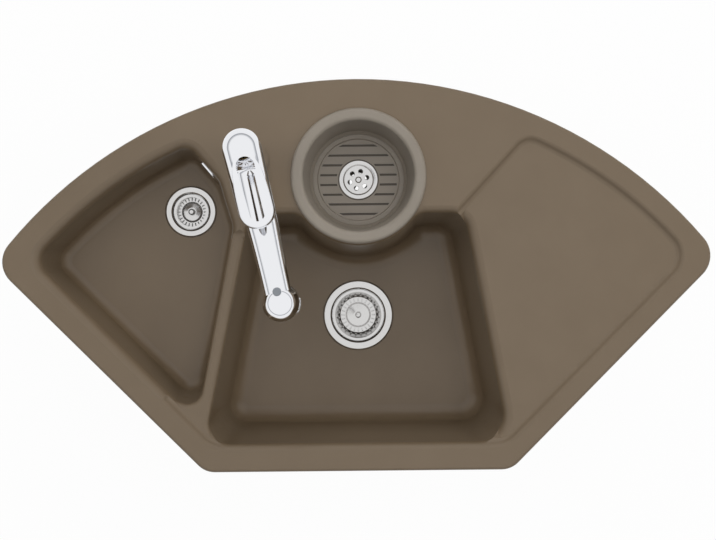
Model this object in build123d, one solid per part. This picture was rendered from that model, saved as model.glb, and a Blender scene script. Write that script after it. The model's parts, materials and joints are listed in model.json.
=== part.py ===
from build123d import *
import os
from math import atan2, cos, degrees, radians, sin, tan

# A corner kitchen sink cast in one piece of glazed ceramic, with two basins, a drainer, a well
# for a lift-out colander, its wastes and overflow, and a single-lever tap with a pull-out spray.
# Millimetres. +X runs to the right along the front edge, +Y to the back corner, +Z up.
# The origin is the middle of the front rim's seat, on the worktop plane.

# ---------------------------------------------------------------- the ceramic, driving sizes
DECK = 10.0              # top of the rim over the worktop
RECESS = 3.0             # level of the drainer, the ridge and the ledges round the basins
UNDERSIDE = -14.0        # underside of the deck inside the worktop cut-out
SEAT = 24.0              # width of the rim that rests on the worktop
FRONT_Y = -SEAT / 2      # front edge of the rim
FRONT_X = 228.4          # half the front edge, to its sharp corners
SIDE_X = 542.0           # half the width, to the sharp side corners
SIDE_Y = FRONT_Y + SIDE_X - FRONT_X
BACK_R = 677.0           # back edge, one arc from side corner to side corner
SIDE_CORNER_R = 40.0
FRONT_CORNER_R = 35.0
RIM_EDGE_R = 5.0
WALL = 11.0              # ceramic wall and floor of the basins
DRAFT = 4.2              # slope of the basin walls, degrees
LIP_SKIM = 0.06          # how far above its level a rolled lip starts, so it meets it at an angle
COVER = (1300.0, 900.0)  # width and depth of a slab that covers the whole sink

MAIN_DEPTH = 190.0       # floor of the main basin under the worktop plane
SMALL_DEPTH = 100.0
MAIN_LIP_R = 12.0        # roll from the deck into the main basin
SMALL_LIP_R = 16.0       # roll from the deck into the small basin
DRAINER_LIP_R = 16.0     # roll from the drainer into the main basin
RIDGE_LIP_R = 7.0        # both edges of the ridge
RECESS_EDGE_R = 8.0      # top and foot of the slope round the recess
UNDER_REACH = 24.0       # how far under the recess its rolls into the basins are looked for

# ---------------------------------------------------------------- recess, plan points (x, y)
RECESS_BACK_R = 646.4
DRAINER_LOOP = [
    (222.0, 24.0),       # front
    (501.6, 303.6),      # right corner
    (254.2, 490.2),      # back corner
    (110.0, 333.3),      # the rest lies over the main basin
    (110.0, 24.0),
]
DRAINER_ARCS = {1: -RECESS_BACK_R}
DRAINER_CORNERS = {0: 45, 1: 40, 2: 30}
RIDGE_LOOP = [
    (-218.5, 24.0),      # front
    (-100.0, 24.0),      # over the main basin, up to the end of the ridge
    (-100.0, 350.0),
    (-240.0, 350.0),     # over the small basin
    (-290.0, 140.0),
    (-290.0, 95.5),
]
RIDGE_CORNERS = {0: 45}

# ---------------------------------------------------------------- basins, plan points (x, y)
MAIN_LOOP = [
    (-230.8, 29.0),      # front left
    (227.4, 29.0),       # front right
    (164.0, 373.0),      # back right
    (91.8, 373.0),       # the dam of the colander well starts here
    (-82.8, 373.0),      # and ends here
    (-159.6, 373.0),     # back left
]
DAM_R = 103.2            # outside of the dam at the deck
MAIN_ARCS = {3: DAM_R}
MAIN_CORNERS = {0: 30, 1: 38, 2: 28, 3: 28, 4: 28, 5: 28}
MAIN_FLOOR_R = 26.0

SMALL_LOOP = [
    (-482.8, 305.3),     # left corner
    (-240.6, 63.1),      # front corner
    (-183.1, 355.0),     # where the ridge meets the tap bank
    (-203.5, 424.0),     # blunt corner, where the overflow wall starts
    (-249.2, 477.8),     # back corner
]
SMALL_ARCS = {4: -633.0}
SMALL_CORNERS = {0: 27, 1: 24, 2: 30, 3: 24, 4: 22}
SMALL_FLOOR_R = 16.0

# ---------------------------------------------------------------- colander well
WELL = (4.5, 428.0)
WELL_R = 94.6            # at the deck, under the colander's rim
WELL_FLOOR_R = 85.0
WELL_FLOOR_Z = -114.0
WELL_DRAIN_R = 14.0      # drain hole in its floor

# ---------------------------------------------------------------- wastes and overflow
WASTES = {
    # name: plan centre, basin floor, cup radius, flange radius, cup depth, radius of basket dish
    "main": ((2.0, 214.0), -MAIN_DEPTH, 43.4, 57.0, 30.0, 21.0),
    "small": ((-259.0, 382.0), -SMALL_DEPTH, 28.8, 40.0, 26.0, 16.5),
}
SEAT_SINK = 2.0          # how far a waste's flange is let into the floor
HOLE_GAP = 1.6           # between a waste's cup and the ceramic round it
SHEET = 1.4              # wall of the pressed cups and baskets
PLUG_HEIGHT = 6.0        # rubber plug under a basket
OUTLET_R = 23.9          # outside of the 1 1/2 inch outlet spigots
OUTLET_BORE_R = 20.5
OUTLET_LENGTH = 30.0
SCREW_R = 3.0
SLOTS = 24               # round the floor of each basket
OVERFLOW_ALONG = 27.0    # from the blunt corner of the tap bank, along the overflow wall
OVERFLOW_Z = -23.0
OVERFLOW_SLOT = (24.0, 7.0)
PIPE_R = 9.0
PIPE_BORE_R = 7.0
PIPE_BEND_R = 28.0
PORT_Z = -SMALL_DEPTH - 34.0   # where the overflow pipe enters the small waste
PORT_R = 12.0

# ---------------------------------------------------------------- tap
TAP = (-151.5, 452.5)    # its upright axis, in plan
TAP_TURN = 13.0          # the spout rests this far to the right of the front, degrees
TAP_HOLE_R = 17.5
COLUMN_R = 23.5
SHANK_R = 16.5
SHANK_BORE_R = 13.5
SHANK_FOOT_Z = -75.0
SPIGOT_R = 17.0
SPIGOT_TOP_Z = 110.0
SWIVEL_Z = 40.0          # joint line between the fixed column and the turning housing
SWIVEL_GAP = 0.06        # running clearance on the spigot, radial
HOUSING_R = 24.0
PIVOT_Z = 212.0          # the lever's pivot, centre of its dome
HOUSING_TOP_Z = PIVOT_Z - 13.0
CAVITY_R = 19.0
CAVITY_Z = 160.0
DOME_R = 26.5
DOME_INNER_R = 24.3
DOME_TILT = 11.5         # slope of the dome's rim, lower in front, degrees
DOME_RIM = Plane(origin=(0, 0, -4), z_dir=(0, -sin(radians(DOME_TILT)), cos(radians(DOME_TILT))))
CAP_R = 23.6
LEVER_REACH = 111.0      # pivot to the tip of the loop
LEVER_TIP_R = 25.0
FINGER_START = 14.0      # the finger opening, from the pivot
FINGER_END = 101.0
FINGER_HALF = 10.5
SPOUT_RISE = 12.0        # slope of the spout, degrees
SPOUT_Z = 142.0          # the spout's axis where it leaves the tap's axis
SPOUT_R = 22.0
SEAM = 107.0             # from the tap's axis to the end of the socket, in plan
SOCKET_R = 19.9
SOCKET_DEPTH = 18.0
REACH = 214.0            # from the tap's axis to the middle of the spray head, in plan
HEAD_R = 26.8
HEAD_FOOT_Z = 158.0
BUTTON_AT = 198.0        # the spray button, in plan from the tap's axis
BUTTON_R = 5.8
BUTTON_FOOT_Z = 199.0
BUTTON_TOP_Z = 205.6
BUTTON_TRAVEL = 1.5


def loop_face(points, z, arcs):
    """A closed flat outline, anticlockwise; arcs gives a side its radius, negative if it bulges out."""
    sides = []
    for i, start in enumerate(points):
        a = Vector(*start, z)
        b = Vector(*points[(i + 1) % len(points)], z)
        radius = arcs.get(i)
        sides.append(Line(a, b) if radius is None else RadiusArc(a, b, radius))
    return Face(Wire(sides))


def nearest(shapes, point):
    return shapes.sort_by_distance(Vector(*point))[0]


def uprights(solid):
    """Edges that run down a wall, not along a level."""
    return ShapeList([e for e in solid.edges() if abs(e.tangent_at(0.5).Z) > 0.5])


def at_level(solid, z):
    return ShapeList([e for e in solid.edges() if abs(e.center().Z - z) < 0.01
                      and abs(e.tangent_at(0.5).Z) < 0.01])


def basin(points, arcs, corners, top, depth, floor_r, grow=0.0):
    """A basin shape from a level down to its floor, with drafted walls; grow makes it larger."""
    face = loop_face(points, top, arcs)
    if grow:
        face = offset(face, grow, kind=Kind.INTERSECTION).faces()[0]
    solid = extrude(face, -(top + depth), taper=DRAFT)
    for i, radius in corners.items():
        solid = fillet(nearest(uprights(solid), (*points[i], top)), radius + grow)
    return fillet(at_level(solid, -depth), floor_r)


def with_lip(hollow, level, lip_r):
    """The hollow opened upwards at a level, with the lip that rolls over into it."""
    slab = Pos(0, SIDE_Y, level + LIP_SKIM + DECK) * Box(*COVER, 2 * DECK)
    below = split(hollow, Plane.XY.offset(level + LIP_SKIM), keep=Keep.BOTTOM)
    opened = slab + below
    return fillet(ShapeList([e for e in at_level(opened, level + LIP_SKIM)
                             if abs(e.center().X) < COVER[0] / 2 - 1
                             and abs(e.center().Y - SIDE_Y) < COVER[1] / 2 - 1]), lip_r)


def prism(points, arcs, corners, low, high, grow=0.0, slope=0.0):
    """A block between two levels with rounded corners; slope narrows it downwards."""
    face = loop_face(points, high, arcs)
    for i, radius in corners.items():
        face = fillet(nearest(face.vertices(), (*points[i], high)), radius).faces()[0]
    if grow:
        face = offset(face, grow, kind=Kind.INTERSECTION).faces()[0]
    return extrude(face, low - high, taper=slope)


def rim():
    """The rim and the plate under it, before anything is let into it."""
    points = [(-SIDE_X, SIDE_Y), (-FRONT_X, FRONT_Y), (FRONT_X, FRONT_Y), (SIDE_X, SIDE_Y)]
    arcs = {3: -BACK_R}
    corners = {0: SIDE_CORNER_R, 1: FRONT_CORNER_R, 2: FRONT_CORNER_R, 3: SIDE_CORNER_R}
    plate = prism(points, arcs, corners, 0, DECK)
    plate = fillet(at_level(plate, DECK), RIM_EDGE_R)
    return plate + prism(points, arcs, corners, UNDERSIDE, 0, -SEAT)


def recess(points, arcs, corners):
    """A part of the shallow recess with soft sloping sides, and the block under its flat floor."""
    top = DECK + LIP_SKIM
    space = prism(points, arcs, corners, RECESS, top, slope=45)
    space = fillet(at_level(space, RECESS), RECESS_EDGE_R)
    floor_inset = top - RECESS + RECESS_EDGE_R * tan(radians(22.5))
    under = prism(points, arcs, {}, RECESS - UNDER_REACH, RECESS + LIP_SKIM * 2, -floor_inset, 45)
    return with_lip(space, DECK, RECESS_EDGE_R), under


def turned(outline, centre=(0, 0)):
    """A turned piece from its (radius, height) outline, on an upright axis."""
    face = make_face(Polyline(*[(r, 0, z) for r, z in outline], close=True))
    return Pos(*centre, 0) * revolve(face, Axis.Z)


def disc(radius, low, high, centre=(0, 0)):
    return Pos(*centre, (low + high) / 2) * Cylinder(radius, high - low)


def washer(inner, outer, low, high, centre=(0, 0)):
    return turned([(inner, low), (outer, low), (outer, high), (inner, high)], centre)


def round_edges(solid, radius, z, r, centre=(0, 0)):
    """Rounds the circular edges at one height and radius of a turned piece."""
    edges = [e for e in solid.edges() if abs(e.center().Z - z) < 0.01
             and abs((e.position_at(0) - Vector(*centre, z)).length - r) < 0.01]
    return fillet(edges, radius)


def overflow_plane():
    """On the overflow wall, its x along the wall, its z out of the ceramic into the basin."""
    corner, back = Vector(*SMALL_LOOP[3], 0), Vector(*SMALL_LOOP[4], 0)
    along = (back - corner).normalized()
    inward = Vector(-along.Y, along.X, 0) * -1
    if inward.X > 0:
        inward = inward * -1
    drop = DECK + LIP_SKIM - OVERFLOW_Z
    face = corner + along * OVERFLOW_ALONG + inward * (drop * tan(radians(DRAFT)))
    normal = inward * cos(radians(DRAFT)) + Vector(0, 0, sin(radians(DRAFT)))
    return Plane(origin=(face.X, face.Y, OVERFLOW_Z), x_dir=along, z_dir=normal)


def sink_body():
    """The casting: a rim and recess, two basins, the colander well and every hole in them."""
    drainer, under_drainer = recess(DRAINER_LOOP, DRAINER_ARCS, DRAINER_CORNERS)
    ridge, under_ridge = recess(RIDGE_LOOP, {}, RIDGE_CORNERS)
    top = DECK + LIP_SKIM
    main_hollow = basin(MAIN_LOOP, MAIN_ARCS, MAIN_CORNERS, top, MAIN_DEPTH, MAIN_FLOOR_R)
    small_hollow = basin(SMALL_LOOP, SMALL_ARCS, SMALL_CORNERS, top, SMALL_DEPTH, SMALL_FLOOR_R)
    body = rim()
    body += basin(MAIN_LOOP, MAIN_ARCS, MAIN_CORNERS, 0, MAIN_DEPTH + WALL, MAIN_FLOOR_R + WALL, WALL)
    body += basin(SMALL_LOOP, SMALL_ARCS, SMALL_CORNERS, 0, SMALL_DEPTH + WALL,
                  SMALL_FLOOR_R + WALL, WALL)
    body += turned([(0, 0), (WELL_R + WALL, 0), (WELL_R + WALL, UNDERSIDE),
                    (WELL_FLOOR_R + WALL, WELL_FLOOR_Z), (WELL_FLOOR_R, WELL_FLOOR_Z - WALL),
                    (0, WELL_FLOOR_Z - WALL)], WELL)
    body = body - drainer - ridge
    body -= with_lip(main_hollow, DECK, MAIN_LIP_R)
    body -= with_lip(small_hollow, DECK, SMALL_LIP_R)
    body -= with_lip(main_hollow, RECESS, DRAINER_LIP_R) & under_drainer
    body -= with_lip(main_hollow, RECESS, RIDGE_LIP_R) & under_ridge
    body -= with_lip(small_hollow, RECESS, RIDGE_LIP_R) & under_ridge
    body -= turned([(0, DECK + 5), (WELL_R, DECK + 5), (WELL_R, 0), (WELL_FLOOR_R, WELL_FLOOR_Z + 10),
                    (WELL_FLOOR_R - 10, WELL_FLOOR_Z), (0, WELL_FLOOR_Z)], WELL)
    body -= disc(WELL_DRAIN_R, WELL_FLOOR_Z - 2 * WALL, WELL_FLOOR_Z + 1, WELL)
    for centre, floor, cup_r, flange_r, _, _ in WASTES.values():
        body -= disc(cup_r + HOLE_GAP + SHEET, floor - 2 * WALL, floor + 1, centre)
        body -= disc(flange_r + 1, floor - SEAT_SINK, floor + 1, centre)
    body -= disc(TAP_HOLE_R, UNDERSIDE - 1, DECK + 1, TAP)
    body -= extrude(overflow_plane() * SlotOverall(*OVERFLOW_SLOT), 3 * WALL, both=True)
    return body


def colander():
    """The lift-out strainer bowl: its rim rests on the deck round the well's mouth."""
    x, y = WELL
    lip, floor = DECK + 8, -78.0
    bowl = turned([
        (101, DECK), (101, lip), (83, lip), (75, floor + 12), (70.5, floor + 6),
        (70, floor + 3), (64, floor + 3), (62.5, floor), (31.6, floor), (31.6, floor - 1.6),
        (20, floor - 1.6), (20, floor - 6), (64, floor - 6), (76, floor + 3), (79.5, floor + 12),
        (89, DECK)], WELL)
    bowl = round_edges(bowl, 5.5, lip, 101, WELL)
    bowl = round_edges(bowl, 6, lip, 83, WELL)
    for row in range(8):
        across = (row - 3.5) * 15.2
        groove = Pos(x, y + across, floor) * Box(124, 3.4, 4.6)
        bowl -= groove & washer(34, 60, floor - 4, floor + 4, WELL)
    dish = floor - 0.6
    plate = turned([
        (SCREW_R + 0.1, floor - 1.6), (31, floor - 1.6), (31, floor), (29.5, floor + 1.2),
        (26.5, floor + 1.2), (24, floor + 0.4), (22, dish), (SCREW_R + 0.1, dish)], WELL)
    for turn in range(6):
        hole = Cylinder(3.5, 6) + Pos(0, 0, 1.1) * Cone(3.5, 5.1, 1.6)
        plate -= Pos(x, y, floor - 1.3) * Rot(0, 0, 60 * turn + 15) * Pos(13.5, 0, 0) * hole
    screw = turned([(0, dish + 2.4), (3.4, dish + 2.4), (5, dish + 1), (5, dish),
                    (SCREW_R, dish), (SCREW_R, floor - 16), (0, floor - 16)], WELL)
    gasket = washer(20.6, 27, floor - 8, floor - 6, WELL)
    outlet = turned([(20.6, floor - 11), (27, floor - 11), (27, floor - 8), (17, floor - 8),
                     (17, floor - 18), (20.6, floor - 18)], WELL)
    hub = disc(6, floor - 18, floor - 9, WELL)
    for turn in range(3):
        spoke = Pos(11.5, 0, 0) * Box(13, 3, 6)
        hub += Pos(x, y, floor - 14) * Rot(0, 0, 120 * turn) * spoke
    outlet = outlet + hub - disc(SCREW_R + 0.05, floor - 30, floor, WELL)
    return {"colander_bowl": bowl, "colander_strainer": plate, "colander_screw": screw,
            "colander_gasket": gasket, "colander_outlet": outlet}


def strainer_waste(name):
    """One waste with its lift-out basket: a pressed cup held down to a housing by one screw."""
    centre, floor, cup_r, flange_r, depth, dish_r = WASTES[name]
    x, y = centre
    seat = floor - SEAT_SINK
    cup_floor = floor - depth
    under = floor - WALL
    outer = cup_r + SHEET
    seal = washer(outer + 0.4, flange_r - 2, seat, seat + 1, centre)
    cup = turned([
        (flange_r, seat + 1), (flange_r, seat + 1.8), (flange_r - 2, seat + 3.6),
        (flange_r - 4, seat + 3.6), (cup_r + 2, seat + 2.6), (cup_r, seat + 1), (cup_r, cup_floor),
        (0, cup_floor), (0, cup_floor - SHEET), (outer, cup_floor - SHEET), (outer, seat + 1)], centre)
    for turn in range(6):
        way = Pos(0.42 * dish_r + 4, 0, 0) * Cylinder(0.2 * dish_r, 10)
        cup -= Pos(x, y, cup_floor) * Rot(0, 0, 60 * turn) * way
    cup -= disc(SCREW_R + 0.1, cup_floor - 5, cup_floor + 5, centre)
    lower_seal = washer(outer + 1.5, flange_r, under - 3, under, centre)
    lip = under - 3
    bottom = cup_floor - 24
    housing = turned([
        (outer + 1.5, lip), (flange_r + 1, lip), (flange_r + 1, lip - 4), (outer + 5, lip - 6),
        (outer + 5, bottom + 10), (outer - 2, bottom), (OUTLET_R, bottom),
        (OUTLET_R, bottom - OUTLET_LENGTH), (OUTLET_BORE_R, bottom - OUTLET_LENGTH),
        (OUTLET_BORE_R, bottom + 3), (outer - 3, bottom + 3), (outer + 1.5, bottom + 11)], centre)
    inside = turned([(0, bottom + 3), (outer - 3, bottom + 3), (outer + 1.5, bottom + 11),
                     (outer + 1.5, lip + 1), (0, lip + 1)], centre)
    if name == "small":
        housing += overflow_port(PORT_R, outer - 2, outer + 19)
        housing -= inside
        housing -= overflow_port(PIPE_R, outer + 5, outer + 20)
        housing -= overflow_port(PIPE_BORE_R, outer - 8, outer + 6)
    hub = disc(7, cup_floor - SHEET - 24, cup_floor - SHEET, centre)
    for turn in range(3):
        spoke = Pos(OUTLET_BORE_R / 2 + 3, 0, 0) * Box(OUTLET_BORE_R, 3, 8)
        hub += Pos(x, y, cup_floor - SHEET - 20) * Rot(0, 0, 120 * turn + 30) * spoke
    housing = housing + hub - disc(SCREW_R + 0.05, bottom - 9, cup_floor + 1, centre)
    screw = turned([(0, cup_floor + 3), (5, cup_floor + 3), (7, cup_floor + 1.5), (7, cup_floor),
                    (SCREW_R, cup_floor), (SCREW_R, cup_floor - SHEET - 20), (0, cup_floor - SHEET - 20)],
                   centre)
    rim_z = floor - 3
    pan = cup_floor + PLUG_HEIGHT + 3
    crown = pan + 4
    wall_r = dish_r + 9
    basket = turned([
        (cup_r - 1.6, rim_z), (cup_r - 1.6, rim_z - SHEET), (cup_r - 4.5, rim_z - SHEET),
        (wall_r, pan - SHEET), (dish_r, pan - SHEET), (dish_r - 3, pan + 2 - SHEET),
        (7, crown - SHEET), (0, crown - SHEET), (0, crown), (7, crown), (dish_r - 3, pan + 2),
        (dish_r, pan), (wall_r - 1, pan), (cup_r - 5.5, rim_z)], centre)
    for turn in range(SLOTS):
        slot = Pos(dish_r + 4, 0, 0) * Box(5.5, 1.9, 6)
        basket -= Pos(x, y, pan) * Rot(0, 0, 360 / SLOTS * turn) * slot
    basket -= disc(2.6, pan - 5, crown + 5, centre)
    low_r, high_r = wall_r - 1, cup_r - 5.5
    lean = degrees(atan2(high_r - low_r, rim_z - pan))
    for turn in range(SLOTS):
        flute = Pos((low_r + high_r) / 2 - 0.35, 0, (pan + rim_z) / 2) * Rot(0, lean, 0) * Cylinder(1.1, 12)
        basket -= Pos(x, y, 0) * Rot(0, 0, 360 / SLOTS * (turn + 0.5)) * flute
    knob = turned([(0, crown + 9), (3, crown + 8.6), (5, crown + 6.5), (5, crown + 5),
                   (3.2, crown + 3), (4.5, crown), (2.5, crown), (2.5, cup_floor + 5),
                   (0, cup_floor + 5)], centre)
    plug_r = 0.62 * dish_r + 6
    plug_top = cup_floor + PLUG_HEIGHT
    plug = turned([(0, cup_floor + 5), (2.5, cup_floor + 5), (2.5, crown - SHEET), (6, crown - SHEET),
                   (6, plug_top), (plug_r - 2, plug_top), (plug_r, plug_top - 2),
                   (plug_r, cup_floor), (8.5, cup_floor), (8.5, cup_floor + 3.6), (0, cup_floor + 3.6)],
                  centre)
    return {name + "_waste_seal": seal, name + "_waste_cup": cup, name + "_waste_lower_seal": lower_seal,
            name + "_waste_housing": housing, name + "_waste_screw": screw, name + "_basket": basket,
            name + "_basket_knob": knob, name + "_basket_seal": plug}


def overflow_drop():
    """Plan position of the overflow pipe's upright run, behind the overflow wall."""
    plane = overflow_plane()
    point = plane.origin - plane.z_dir * (WALL + 12)
    return Vector(point.X, point.Y)


def overflow_port(radius, start, end):
    """A cylinder from the small waste's axis towards the overflow pipe, between two radii."""
    waste = Vector(*WASTES["small"][0])
    towards = (overflow_drop() - waste).normalized()
    origin = waste + towards * start
    plane = Plane(origin=(origin.X, origin.Y, PORT_Z), z_dir=(towards.X, towards.Y, 0))
    return extrude(plane * Circle(radius), end - start)


def overflow():
    """The chrome cover in the basin wall, its screwed-on housing and the pipe to the waste."""
    plane = overflow_plane()
    wall = (WALL + (DECK + LIP_SKIM) * tan(radians(DRAFT))) * cos(radians(DRAFT))
    long, high = OVERFLOW_SLOT
    cover = extrude(plane * SlotOverall(long + 8, high + 8), 3)
    cover = fillet(cover.faces().sort_by(Axis(plane.origin, plane.z_dir))[-1].edges(), 1.5)
    cover += extrude(plane * SlotOverall(long - 1, high - 1), -WALL - 2)
    cover -= extrude(plane * SlotOverall(long - 4, high - 4), 3 * WALL, both=True)
    back = Plane(origin=plane.origin - plane.z_dir * wall, x_dir=plane.x_dir, z_dir=-plane.z_dir)
    seal = extrude(back * SlotOverall(long + 6, high + 6), 1.5)
    seal -= extrude(back * SlotOverall(long, high), 5, both=True)
    rear = Plane(origin=back.origin + back.z_dir * 1.5, x_dir=back.x_dir, z_dir=back.z_dir)
    shell = extrude(rear * SlotOverall(long + 8, high + 8), 22)
    shell -= extrude(rear * SlotOverall(long + 3, high + 3), 19)
    drop = overflow_drop()
    foot = OVERFLOW_Z - 26
    shell += disc(PIPE_BORE_R, foot, OVERFLOW_Z - 5, (drop.X, drop.Y))
    shell -= disc(PIPE_BORE_R - 2, foot - 1, OVERFLOW_Z - 2, (drop.X, drop.Y))
    waste = Vector(*WASTES["small"][0])
    end = waste + (drop - waste).normalized() * (WASTES["small"][2] + SHEET + 5)
    top = foot + 14
    path = FilletPolyline((drop.X, drop.Y, top), (drop.X, drop.Y, PORT_Z), (end.X, end.Y, PORT_Z),
                          radius=PIPE_BEND_R)
    ring = Plane(origin=(drop.X, drop.Y, top), z_dir=(0, 0, -1))
    pipe = sweep(ring * Circle(PIPE_R), path) - sweep(ring * Circle(PIPE_BORE_R), path)
    return {"overflow_cover": cover, "overflow_seal": seal, "overflow_housing": shell,
            "overflow_pipe": pipe}


TAP_PLACE = Pos(*TAP, 0) * Rot(0, 0, TAP_TURN)   # the tap is drawn with its spout towards -Y


def spout_plane(along):
    """Square to the spout's axis, at a distance along it from the tap's axis."""
    rise = radians(SPOUT_RISE)
    return Plane(origin=(0, -along * cos(rise), SPOUT_Z + along * sin(rise)), x_dir=(1, 0, 0),
                 z_dir=(0, -cos(rise), sin(rise)))


def spout_cylinder(radius, start, end):
    return extrude(spout_plane(start) * Circle(radius), end - start)


def tap_fixings():
    """What holds the tap to the deck, and the column that its housing turns on."""
    gasket = washer(TAP_HOLE_R + 0.1, COLUMN_R - 0.5, DECK, DECK + 1.2)
    base = DECK + 1.2
    column = turned([
        (SHANK_BORE_R, SHANK_FOOT_Z), (SHANK_R, SHANK_FOOT_Z), (SHANK_R, base), (COLUMN_R, base),
        (COLUMN_R, SWIVEL_Z - 1), (COLUMN_R - 1, SWIVEL_Z), (SPIGOT_R, SWIVEL_Z),
        (SPIGOT_R, SPIGOT_TOP_Z), (SHANK_BORE_R, SPIGOT_TOP_Z)])
    bearing = washer(SPIGOT_R + 0.05, COLUMN_R - 1.5, SWIVEL_Z, SWIVEL_Z + 1)
    inlets = disc(SHANK_BORE_R, SHANK_FOOT_Z, SHANK_FOOT_Z + 12)
    for x, y in ((-6.5, 4), (6.5, 4)):
        inlets -= disc(4.5, SHANK_FOOT_Z - 1, SHANK_FOOT_Z + 13, (x, y))
    inlets -= disc(5, SHANK_FOOT_Z - 1, SHANK_FOOT_Z + 13, (0, -7.2))
    under = UNDERSIDE
    rubber = washer(TAP_HOLE_R, 28, under - 3, under)
    plate = washer(SHANK_R + 0.3, 28, under - 5, under - 3)
    nut = extrude(Pos(0, 0, under - 15) * RegularPolygon(20.5, 6, major_radius=False), 10)
    nut -= disc(SHANK_R + 0.05, under - 20, under)
    return {"tap_gasket": gasket, "tap_column": column, "tap_bearing": bearing,
            "tap_inlet_block": inlets, "tap_under_seal": rubber, "tap_backing_plate": plate,
            "tap_nut": nut}


def tap_housing():
    """The turning body: a bored barrel with the spout's socket, and the cartridge inside it."""
    barrel = disc(HOUSING_R, SWIVEL_Z + 1, HOUSING_TOP_Z)
    slant = SEAM / cos(radians(SPOUT_RISE))
    barrel += spout_cylinder(SPOUT_R, 6, slant)
    joint = [e for e in barrel.edges() if e.geom_type not in (GeomType.LINE, GeomType.CIRCLE)]
    barrel = fillet(joint, 9)
    barrel -= disc(SPIGOT_R + SWIVEL_GAP, SWIVEL_Z, SPIGOT_TOP_Z + 2)
    barrel -= disc(14, SPIGOT_TOP_Z, CAVITY_Z - 3)
    barrel -= disc(CAVITY_R, CAVITY_Z, HOUSING_TOP_Z + 1)
    barrel -= spout_cylinder(10, 4, slant + 1)
    barrel -= spout_cylinder(SOCKET_R, slant - SOCKET_DEPTH, slant + 1)
    cartridge = disc(CAVITY_R - 0.1, CAVITY_Z, HOUSING_TOP_Z - 9)
    cartridge -= disc(11.06, CAVITY_Z + 12, HOUSING_TOP_Z)
    nut = washer(12.6, CAVITY_R - 0.1, HOUSING_TOP_Z - 9, HOUSING_TOP_Z)
    for turn in range(4):
        nut -= Pos(0, 0, HOUSING_TOP_Z) * Rot(0, 0, 90 * turn + 45) * Pos(15, 0, 0) * Box(8, 4, 6)
    cap = Sphere(CAP_R) - Sphere(CAP_R - 1.8)
    cap = cap - Pos(0, 0, -CAP_R - 13) * Box(60, 60, 2 * CAP_R) - Pos(0, 0, 30) * Cylinder(17.5, 60)
    return {"swivel_housing": barrel, "cartridge_body": cartridge, "cartridge_nut": nut,
            "cartridge_cap": Pos(0, 0, PIVOT_Z) * cap}


def lever_parts():
    """The lever's moving stack: a rotor that turns, and the stem and lever that also tilt."""
    rotor = disc(11, CAVITY_Z + 12, PIVOT_Z + 3)
    rotor -= Pos(0, 0, PIVOT_Z) * Box(8.6, 24, 26)
    rotor -= Pos(0, 0, PIVOT_Z) * Rot(0, 90, 0) * Cylinder(2, 30)
    pin = Pos(0, 0, PIVOT_Z) * Rot(0, 90, 0) * Cylinder(2, 21)
    stem = Pos(0, 0, PIVOT_Z + 5) * Box(8, 8, 31)
    stem -= Pos(0, 0, PIVOT_Z) * Rot(0, 90, 0) * Cylinder(2.06, 30)
    tip_y = LEVER_TIP_R - LEVER_REACH
    capsule = Sphere(DOME_R) + Pos(0, tip_y, 0) * Sphere(LEVER_TIP_R)
    capsule += Pos(0, tip_y / 2, 0) * Rot(90, 0, 0) * Cone(DOME_R, LEVER_TIP_R, -tip_y)
    top = Spline((0, 0, DOME_R - 0.2), (0, -24, 20.5), (0, -56, 13.8), (0, -LEVER_REACH - 1, 9.5),
                 tangents=((0, -1, 0), (0, -1, -0.08)))
    foot = Polyline((0, -LEVER_REACH - 1, 9.5), (0, -LEVER_REACH - 1, 1), (0, -60, -1.5),
                    (0, -16, -6), (0, 0, -6), (0, 0, DOME_R - 0.2))
    loop = capsule & extrude(make_face(Wire([top, *foot.edges()])), 40, both=True)
    loop = fillet([e for e in loop.edges() if e.center().Z > 8 and e.center().Y < -20
                   and e.length > 40], 2.5)
    dome = split(Sphere(DOME_R), DOME_RIM, keep=Keep.TOP)
    lever = dome + loop - Sphere(DOME_INNER_R)
    opening = make_hull((Pos(0, FINGER_HALF - FINGER_END) * Circle(FINGER_HALF)
                         + Pos(0, -FINGER_START - FINGER_HALF - 2) * Circle(FINGER_HALF + 2)).edges())
    lever -= extrude(Pos(0, 0, -10) * opening, 60)
    boss = Pos(0, 0, 16) * Cylinder(8.5, 14) & Sphere(DOME_R - 1)
    lever = lever + boss - Pos(0, 0, 14.2) * Box(8.1, 8.1, 12.8)
    lever -= Pos(0, -7, 15) * Rot(90, 0, 0) * Cylinder(2.5, 7)
    screw = Pos(0, -5.7, 15) * Rot(90, 0, 0) * Cylinder(2.5, 3.4)
    index = Pos(0, -8.1, 15) * Rot(90, 0, 0) * Cylinder(2.5, 1.4)
    return {"cartridge_rotor": rotor, "cartridge_pin": pin, "cartridge_stem": stem,
            "lever": Pos(0, 0, PIVOT_Z) * lever, "lever_screw": Pos(0, 0, PIVOT_Z) * screw,
            "lever_index": Pos(0, 0, PIVOT_Z) * index}


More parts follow.
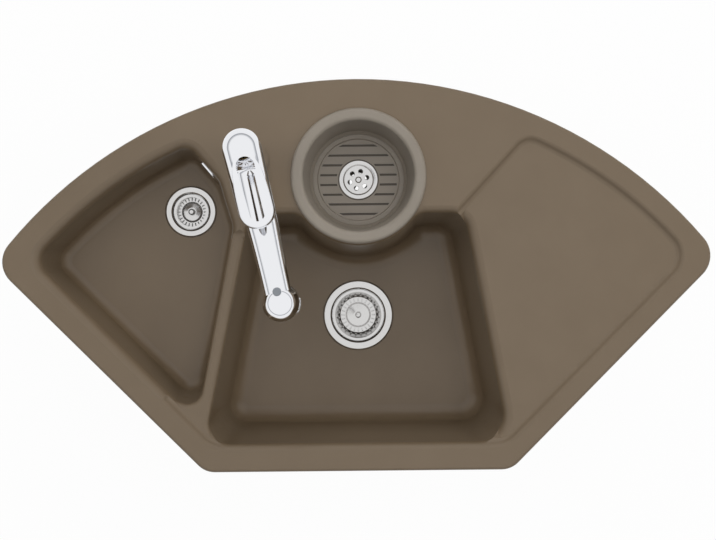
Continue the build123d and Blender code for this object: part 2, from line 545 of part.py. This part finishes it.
def spray_parts():
    """The pull-out hand spray: handle and head in one shell, its face, rim and button."""
    slant = SEAM / cos(radians(SPOUT_RISE))
    reach = REACH / cos(radians(SPOUT_RISE))
    grip = loft([spout_plane(slant) * Circle(SPOUT_R), spout_plane(reach - 38) * Circle(19),
                 spout_plane(reach - 6) * Circle(18.6)])
    crown = Spline((0, 0, 206), (17, 0, 201.5), (23.6, 0, 189), (HEAD_R, 0, HEAD_FOOT_Z + 5),
                   tangents=((1, 0, 0), (0.05, 0, -1)))
    core = Polyline((HEAD_R, 0, HEAD_FOOT_Z + 5), (0, 0, HEAD_FOOT_Z + 5), (0, 0, 206))
    head = revolve(make_face(Wire([crown, *core.edges()])), Axis.Z)
    shell = grip + Pos(0, -REACH, 0) * head
    shell -= spout_cylinder(8, slant - 1, reach)
    shell -= Pos(0, -REACH, 0) * disc(21, HEAD_FOOT_Z + 4, HEAD_FOOT_Z + 28)
    shell -= Pos(0, -REACH, 0) * disc(HEAD_R + 5, HEAD_FOOT_Z - 5, HEAD_FOOT_Z + 5)
    shell -= Pos(0, -BUTTON_AT, 0) * disc(BUTTON_R + 0.1, BUTTON_FOOT_Z - BUTTON_TRAVEL - 0.5, 215)
    foot = HEAD_FOOT_Z
    bezel = turned([(21.6, foot), (HEAD_R, foot), (HEAD_R, foot + 5), (22.5, foot + 5),
                    (22.5, foot + 1.2), (21.6, foot + 1.2)])
    bezel = round_edges(bezel, 1.5, foot, HEAD_R)
    face = disc(22.4, foot + 1.2, foot + 5) - disc(5, foot, foot + 6)
    for turn in range(12):
        face += Rot(0, 0, 30 * turn) * Pos(15, 0, foot + 0.9) * Cylinder(1.3, 1.4)
    button = disc(BUTTON_R, BUTTON_FOOT_Z, BUTTON_TOP_Z)
    button = button.chamfer(0.6, None, at_level(button, BUTTON_TOP_Z))
    collar = spout_cylinder(SOCKET_R - 0.08, slant - 14, slant) - spout_cylinder(8, slant - 15, slant + 1)
    nipple = spout_cylinder(8, slant - 34, slant + 10) - spout_cylinder(4.5, slant - 40, slant + 20)
    return {"spray_handle": shell, "spray_bezel": Pos(0, -REACH, 0) * bezel,
            "spray_face": Pos(0, -REACH, 0) * face, "spray_button": Pos(0, -BUTTON_AT, 0) * button,
            "spray_collar": collar, "spray_nipple": nipple}


def main():
    nodes = {"sink_body": sink_body()}
    nodes.update(colander())
    nodes.update(strainer_waste("main"))
    nodes.update(strainer_waste("small"))
    nodes.update(overflow())
    tap = {}
    for pieces in (tap_fixings(), tap_housing(), lever_parts(), spray_parts()):
        tap.update(pieces)
    nodes.update({name: TAP_PLACE * solid for name, solid in tap.items()})
    os.makedirs("parts", exist_ok=True)
    for name, solid in nodes.items():
        export_step(solid, f"parts/{name}.step")


main()
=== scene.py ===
"""Dresses the corner kitchen sink: its glazed casting, colander, wastes and pull-out tap."""

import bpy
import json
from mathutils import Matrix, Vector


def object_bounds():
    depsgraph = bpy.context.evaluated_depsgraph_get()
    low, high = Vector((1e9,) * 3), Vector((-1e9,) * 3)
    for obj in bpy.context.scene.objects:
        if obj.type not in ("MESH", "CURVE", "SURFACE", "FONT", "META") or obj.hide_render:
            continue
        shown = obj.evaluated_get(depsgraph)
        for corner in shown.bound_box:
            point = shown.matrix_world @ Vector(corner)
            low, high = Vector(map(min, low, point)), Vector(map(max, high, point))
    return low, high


bl_info = {
    "name": "Corner Kitchen Sink",
    "version": (1, 0, 0),
    "blender": (4, 5, 0),
    "location": "View3D > Sidebar > Sink",
    "description": "Finishes and fine pieces for a one-piece corner kitchen sink",
    "category": "Object",
}

import json
from math import radians

import bmesh
import bpy
from mathutils import Vector

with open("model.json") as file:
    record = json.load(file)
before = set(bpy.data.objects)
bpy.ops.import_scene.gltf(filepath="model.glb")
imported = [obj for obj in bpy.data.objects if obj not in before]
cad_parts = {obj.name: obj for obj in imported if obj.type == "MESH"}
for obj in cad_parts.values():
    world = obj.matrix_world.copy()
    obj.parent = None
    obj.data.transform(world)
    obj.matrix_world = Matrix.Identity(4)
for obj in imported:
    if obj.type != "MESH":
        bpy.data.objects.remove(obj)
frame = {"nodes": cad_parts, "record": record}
NODES = frame["nodes"]
CAD_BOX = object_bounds()
MM = 0.001
GROOVE_TOP = -78.05 * MM    # the colander's floor, and how far down its grooves are painted fully dark as shade
GROOVE_FOOT = -79.0 * MM
FLOOR_HALF = 4.0            # the stage's own sizes, in metres
SCREEN_RADIUS = 3.6
SCREEN_SIDES = 96
SCREEN_GREYEST = 0.12       # shares of the screen's height where it is grey, and white again
SCREEN_WHITE = 0.6
FLOOR_GLOW = 0.96           # share of the floor's own white where it is looked at
WORLD_FILL = 0.2            # what the world adds to the lamps' light
LAMP_AIM = (0.0, 0.28, 0.0)
LAMPS = (
    # name, place, size in metres, watts
    ("panel_above", (0.1, 0.4, 3.2), 2.6, 38),
    ("panel_back", (0.3, 3.0, 1.7), 2.2, 32),
    ("panel_right", (3.0, 0.3, 1.9), 2.0, 30),
    ("panel_left", (-3.0, 0.3, 1.9), 2.0, 18),
)
SENSOR_MM = 36.0
NEAREST, FARTHEST = 0.05, 20.0
WHITE = (1.0, 1.0, 1.0, 1.0)


def linear(hex_colour):
    """An sRGB hex colour as linear red, green, blue and alpha."""
    channels = [int(hex_colour[i:i + 2], 16) / 255 for i in (1, 3, 5)]
    return [c / 12.92 if c < 0.04045 else ((c + 0.055) / 1.055) ** 2.4 for c in channels] + [1.0]


def colour_prop(name, description, hex_colour):
    return bpy.props.FloatVectorProperty(name=name, description=description, subtype="COLOR", size=4,
                                         min=0.0, max=1.0, default=linear(hex_colour))


def length_prop(name, description, millimetres):
    return bpy.props.FloatProperty(name=name, description=description, unit="LENGTH", subtype="DISTANCE",
                                   default=millimetres * MM)


def number_prop(name, description, value):
    return bpy.props.FloatProperty(name=name, description=description, default=value)


# ---------------------------------------------------------------- what a user would change

class GlazeSettings(bpy.types.PropertyGroup):
    body: colour_prop("Body colour", "Glaze of the casting", "#776753")
    body_dark: colour_prop("Body shade", "The glaze where it lies a little thicker", "#746450")
    bowl: colour_prop("Bowl colour", "Glaze of the colander bowl", "#958C80")
    bowl_dark: colour_prop("Bowl shade", "The bowl's glaze where it lies a little thicker", "#90877B")
    # Painted shade: the dark colour laid into the grooves of the colander's floor, standing in for the
    # shade there.
    painted_groove_shade: colour_prop("Painted groove shade", "Painted shade in the grooves of the bowl's floor", "#4A4136")
    cloud: length_prop("Cloud size", "Width of the faint clouds in the glaze", 60)
    peel: length_prop("Ripple size", "Width of the ripples that a sprayed glaze dries with", 5)
    roughness: number_prop("Roughness", "Roughness of the satin glaze", 0.3)


class MetalSettings(bpy.types.PropertyGroup):
    chrome: colour_prop("Chrome", "Bright chrome plate", "#EBECEF")
    steel: colour_prop("Steel", "Pressed and polished stainless steel", "#D2D1D0")
    brass: colour_prop("Brass", "Machined brass", "#C9A55F")


class PlasticSettings(bpy.types.PropertyGroup):
    grey: colour_prop("Grey", "The spray's button and face", "#858A90")
    black: colour_prop("Black", "Housings and pipe under the sink", "#26272A")
    white: colour_prop("White", "Bearing pieces inside the tap", "#DEDEDA")
    rubber: colour_prop("Rubber", "Seals and plugs", "#1C1C1D")


class StageSettings(bpy.types.PropertyGroup):
    centre_x: length_prop("Camera across", "Camera's place across the front edge", 2.4)
    centre_y: length_prop("Camera back", "Camera's place back from the front edge's seat", 287.8)
    height: length_prop("Camera height", "Camera above the worktop plane", 2000)
    lens: number_prop("Lens", "Focal length in millimetres on a 36 mm sensor", 67.2)
    roll: number_prop("Roll", "Degrees that the camera is rolled", 0.57)
    floor_gap: length_prop("Floor gap", "Floor below the lowest outlet", 2)
    floor_colour: colour_prop("Floor", "Pale studio floor", "#F4F4F4")
    screen_colour: colour_prop("Screen", "Grey screen round the studio", "#A6A8AC")
    screen_height: length_prop("Screen height", "Top of the screen, which is white at its foot and "
                               "from three fifths of its height", 2600)


# ---------------------------------------------------------------- materials

def add(tree, kind, attributes=None, inputs=None):
    """Adds a node, sets its attributes, and sets or links its inputs."""
    made = tree.nodes.new(kind)
    for name, value in (attributes or {}).items():
        setattr(made, name, value)
    for name, value in (inputs or {}).items():
        if isinstance(value, bpy.types.NodeSocket):
            tree.links.new(value, made.inputs[name])
        else:
            made.inputs[name].default_value = value
    return made


def blank_material(name):
    material = bpy.data.materials.new(name)
    material.use_nodes = True
    material.node_tree.nodes.clear()
    return material, material.node_tree


def finish_material(tree, shader):
    add(tree, "ShaderNodeOutputMaterial", None, {"Surface": shader.outputs[0]})


def object_place(tree):
    """Where a point lies on its piece, in metres."""
    return add(tree, "ShaderNodeTexCoord").outputs["Object"]


def height_of(tree, place):
    return add(tree, "ShaderNodeSeparateXYZ", None, {"Vector": place}).outputs["Z"]


def seen(tree):
    """1 for a ray from the camera, or one that a shining or clear piece passes on, and else 0."""
    path = add(tree, "ShaderNodeLightPath")
    passed_on = add(tree, "ShaderNodeMath", {"operation": "MAXIMUM"}, {
        0: path.outputs["Is Glossy Ray"], 1: path.outputs["Is Transmission Ray"]})
    either = add(tree, "ShaderNodeMath", {"operation": "MAXIMUM"}, {
        0: path.outputs["Is Camera Ray"], 1: passed_on.outputs[0]})
    return either.outputs[0]


def two_tones(tree, factor, first, second):
    """A colour that goes from the first to the second as the factor goes from 0.3 to 0.7."""
    ramp = add(tree, "ShaderNodeValToRGB", None, {"Fac": factor})
    ramp.color_ramp.elements[0].position = 0.3
    ramp.color_ramp.elements[0].color = first
    ramp.color_ramp.elements[1].position = 0.7
    ramp.color_ramp.elements[1].color = second
    return ramp.outputs["Color"]


def satin_glaze(name, light, dark, glaze, painted_groove_shade=None):
    """Fired glaze sprayed on fireclay: an even body colour, faintly clouded, under a satin skin."""
    material, tree = blank_material(name)
    place = object_place(tree)
    clouds = add(tree, "ShaderNodeTexNoise", None, {
        "Vector": place, "Scale": 1 / glaze.cloud, "Detail": 3.0, "Roughness": 0.5})
    colour = two_tones(tree, clouds.outputs["Fac"], dark, light)
    if painted_groove_shade:
        # Painted shade: the bowl's floor is darkened in its grooves, from nothing at the floor to the
        # full dark colour just under a millimetre down, in place of the shade that falls in them.
        depth = add(tree, "ShaderNodeMapRange", None, {
            "Value": height_of(tree, place), "From Min": GROOVE_TOP, "From Max": GROOVE_FOOT})
        mixed = add(tree, "ShaderNodeMix", {"data_type": "RGBA"}, {
            0: depth.outputs["Result"], 6: colour, 7: painted_groove_shade})
        colour = mixed.outputs[2]
    # The ripples are about 5 mm apart and some hundredths of a millimetre high.
    ripples = add(tree, "ShaderNodeTexNoise", None, {
        "Vector": place, "Scale": 1 / glaze.peel, "Detail": 1.0})
    bump = add(tree, "ShaderNodeBump", None, {
        "Height": ripples.outputs["Fac"], "Strength": 0.08, "Distance": 0.0006})
    shader = add(tree, "ShaderNodeBsdfPrincipled", None, {
        "Base Color": colour, "Roughness": glaze.roughness, "IOR": 1.5,
        "Specular IOR Level": 0.4, "Normal": bump.outputs["Normal"]})
    finish_material(tree, shader)
    return material


def worked_metal(name, colour, patch, detail, least, smooth, rough):
    """Bare or plated metal whose polish varies from smooth to rough over patches of one size."""
    material, tree = blank_material(name)
    patches = add(tree, "ShaderNodeTexNoise", None, {
        "Vector": object_place(tree), "Scale": 1 / patch, "Detail": detail})
    roughness = add(tree, "ShaderNodeMapRange", None, {
        "Value": patches.outputs["Fac"], "From Min": least, "From Max": 0.7,
        "To Min": smooth, "To Max": rough})
    shader = add(tree, "ShaderNodeBsdfPrincipled", None, {
        "Base Color": colour, "Metallic": 1.0, "Roughness": roughness.outputs["Result"]})
    finish_material(tree, shader)
    return material


def moulded(name, colour, roughness, grain_size):
    """Moulded plastic or rubber: the even colour of its mass, under the mould's fine texture."""
    material, tree = blank_material(name)
    grain = add(tree, "ShaderNodeTexNoise", None, {
        "Vector": object_place(tree), "Scale": 1 / grain_size, "Detail": 2.0})
    bump = add(tree, "ShaderNodeBump", None, {
        "Height": grain.outputs["Fac"], "Strength": 0.15, "Distance": 0.0002})
    shader = add(tree, "ShaderNodeBsdfPrincipled", None, {
        "Base Color": colour, "Roughness": roughness, "IOR": 1.5, "Normal": bump.outputs["Normal"]})
    finish_material(tree, shader)
    return material


def slot_materials(scene):
    """The material of each finish named in the record."""
    glaze, metal, plastic = scene.sink_glaze, scene.sink_metal, scene.sink_plastic
    return {
        "body_glaze": satin_glaze("satin_glaze_body", glaze.body, glaze.body_dark, glaze),
        # The bowl's glaze carries painted shade in the grooves of its floor.
        "bowl_glaze": satin_glaze("satin_glaze_bowl", glaze.bowl, glaze.bowl_dark, glaze, glaze.painted_groove_shade),
        # Chrome plate over polished brass: a mirror, with the slight haze of wiped fingerprints.
        "chrome": worked_metal("bright_chrome", metal.chrome, patch=12 * MM, detail=3.0,
                               least=0.4, smooth=0.04, rough=0.075),
        # Stainless sheet, deep drawn and polished, with the fine scuffs that the polishing leaves.
        "steel": worked_metal("polished_stainless", metal.steel, patch=1.5 * MM, detail=2.0,
                              least=0.3, smooth=0.14, rough=0.22),
        # Turned brass, left bare where it doesn't show: warm, with fine tool marks.
        "brass": worked_metal("machined_brass", metal.brass, patch=2 * MM, detail=2.0,
                              least=0.3, smooth=0.25, rough=0.38),
        "rubber": moulded("moulded_rubber", plastic.rubber, 0.65, 0.8 * MM),
        "black_plastic": moulded("moulded_polypropylene", plastic.black, 0.45, 1.2 * MM),
        "white_plastic": moulded("moulded_acetal", plastic.white, 0.35, 1.0 * MM),
        "grey_plastic": moulded("moulded_grey_abs", plastic.grey, 0.4, 0.8 * MM),
    }


# ---------------------------------------------------------------- pieces

class SINK_OT_finishes(bpy.types.Operator):
    """Gives every piece carried over from the solid model its finish"""
    bl_idname = "sink.finishes"
    bl_label = "Finishes"

    def execute(self, context):
        materials = slot_materials(context.scene)
        for entry in frame["record"]["subparts"]:
            piece = NODES[entry["node"]]
            for slot in piece.material_slots:
                slot.material = materials[entry["material_slot"]]
        return {"FINISHED"}


def put_on_stage(name, shape, material):
    """Turns a bmesh shape into a piece of the stage."""
    mesh = bpy.data.meshes.new(name)
    shape.to_mesh(mesh)
    shape.free()
    mesh.materials.append(material)
    piece = bpy.data.objects.new(name, mesh)
    bpy.context.scene.collection.objects.link(piece)
    return piece


class SINK_OT_stage(bpy.types.Operator):
    """Floor, screen, world, lamps and the camera that looks straight down"""
    bl_idname = "sink.stage"
    bl_label = "Stage"

    def execute(self, context):
        scene, stage = context.scene, context.scene.sink_stage
        self.floor(stage)
        self.screen(stage)
        self.world(scene)
        self.lamps(scene)
        self.camera(scene, stage)
        scene.view_settings.view_transform = "Standard"
        return {"FINISHED"}

    def floor(self, stage):
        """Pale paper that looks white and still takes a little shadow."""
        shape = bmesh.new()
        bmesh.ops.create_grid(shape, x_segments=1, y_segments=1, size=FLOOR_HALF)
        low = CAD_BOX[0].z - stage.floor_gap
        bmesh.ops.translate(shape, verts=shape.verts, vec=(stage.centre_x, stage.centre_y, low))
        material, tree = blank_material("studio_floor")
        paper = add(tree, "ShaderNodeBsdfDiffuse", None, {"Color": stage.floor_colour})
        glow = add(tree, "ShaderNodeEmission", None, {"Color": WHITE, "Strength": 1.0})
        share = add(tree, "ShaderNodeMath", {"operation": "MULTIPLY"}, {0: seen(tree), 1: FLOOR_GLOW})
        finish_material(tree, add(tree, "ShaderNodeMixShader", None, {
            0: share.outputs[0], 1: paper.outputs[0], 2: glow.outputs[0]}))
        put_on_stage("studio_floor", shape, material)

    def screen(self, stage):
        """A screen all round that only the shining pieces show, as soft grey along their edges."""
        shape = bmesh.new()
        bmesh.ops.create_circle(shape, segments=SCREEN_SIDES, radius=SCREEN_RADIUS)
        ring = bmesh.ops.extrude_edge_only(shape, edges=shape.edges[:])["geom"]
        upper = [v for v in ring if isinstance(v, bmesh.types.BMVert)]
        bmesh.ops.translate(shape, verts=upper, vec=(0, 0, stage.screen_height))
        bmesh.ops.translate(shape, verts=shape.verts, vec=(stage.centre_x, stage.centre_y, 0))
        material, tree = blank_material("grey_screen")
        # It fades to white upwards and towards its foot, so that it has no edge in the chrome.
        height = height_of(tree, object_place(tree))
        share = add(tree, "ShaderNodeMapRange", None, {
            "Value": height, "From Min": 0.0, "From Max": stage.screen_height})
        fade = add(tree, "ShaderNodeValToRGB", None, {"Fac": share.outputs["Result"]})
        fade.color_ramp.interpolation = "EASE"
        fade.color_ramp.elements[0].color = fade.color_ramp.elements[1].color = WHITE
        fade.color_ramp.elements[1].position = SCREEN_WHITE
        fade.color_ramp.elements.new(SCREEN_GREYEST).color = stage.screen_colour
        finish_material(tree, add(tree, "ShaderNodeEmission", None, {
            "Color": fade.outputs["Color"], "Strength": 1.0}))
        screen = put_on_stage("grey_screen", shape, material)
        screen.visible_camera = screen.visible_diffuse = screen.visible_shadow = False

    def world(self, scene):
        """Plain white where it is looked at, and a faint fill light everywhere else."""
        world = bpy.data.worlds.new("studio")
        world.use_nodes = True
        tree = world.node_tree
        tree.nodes.clear()
        fill = add(tree, "ShaderNodeBackground", None, {"Color": WHITE, "Strength": WORLD_FILL})
        white = add(tree, "ShaderNodeBackground", None, {"Color": WHITE, "Strength": 1.0})
        mix = add(tree, "ShaderNodeMixShader", None, {
            0: seen(tree), 1: fill.outputs[0], 2: white.outputs[0]})
        add(tree, "ShaderNodeOutputWorld", None, {"Surface": mix.outputs[0]})
        scene.world = world

    def lamps(self, scene):
        """A large panel above fills the basins, and three lower ones reach down their walls."""
        for name, place, size, power in LAMPS:
            light = bpy.data.lights.new(name, "AREA")
            light.shape = "SQUARE"
            light.size = size
            light.energy = power
            lamp = bpy.data.objects.new(name, light)
            lamp.location = place
            lamp.rotation_euler = (Vector(LAMP_AIM) - lamp.location).to_track_quat("-Z", "Y").to_euler()
            # A panel seen in the chrome would lie on it as a hard bright square.
            lamp.visible_glossy = False
            scene.collection.objects.link(lamp)

    def camera(self, scene, stage):
        lens = bpy.data.cameras.new("camera_above")
        lens.lens = stage.lens
        lens.sensor_width = SENSOR_MM
        lens.clip_start = NEAREST
        lens.clip_end = FARTHEST
        camera = bpy.data.objects.new("camera_above", lens)
        camera.location = (stage.centre_x, stage.centre_y, stage.height)
        camera.rotation_euler = (0, 0, -radians(stage.roll))
        scene.collection.objects.link(camera)
        scene.camera = camera


class SINK_PT_panel(bpy.types.Panel):
    """Shows a button for each step, finishes then stage, in the order they run"""
    bl_idname = "SINK_PT_panel"
    bl_label = "Corner Sink"
    bl_space_type = "VIEW_3D"
    bl_region_type = "UI"
    bl_category = "Sink"

    def draw(self, context):
        for operator in OPERATORS:
            self.layout.operator(operator.bl_idname)


SETTINGS = {
    "sink_glaze": GlazeSettings,
    "sink_metal": MetalSettings,
    "sink_plastic": PlasticSettings,
    "sink_stage": StageSettings,
}
OPERATORS = (SINK_OT_finishes, SINK_OT_stage)


def register():
    for group in SETTINGS.values():
        bpy.utils.register_class(group)
    for name, group in SETTINGS.items():
        setattr(bpy.types.Scene, name, bpy.props.PointerProperty(type=group))
    for made in (*OPERATORS, SINK_PT_panel):
        bpy.utils.register_class(made)


def unregister():
    for made in (SINK_PT_panel, *reversed(OPERATORS)):
        bpy.utils.unregister_class(made)
    for name in SETTINGS:
        delattr(bpy.types.Scene, name)
    for group in SETTINGS.values():
        bpy.utils.unregister_class(group)


def main():
    register()
    for operator in OPERATORS:
        family, name = operator.bl_idname.split(".")
        getattr(getattr(bpy.ops, family), name)()


if __name__ == "__main__":
    main()
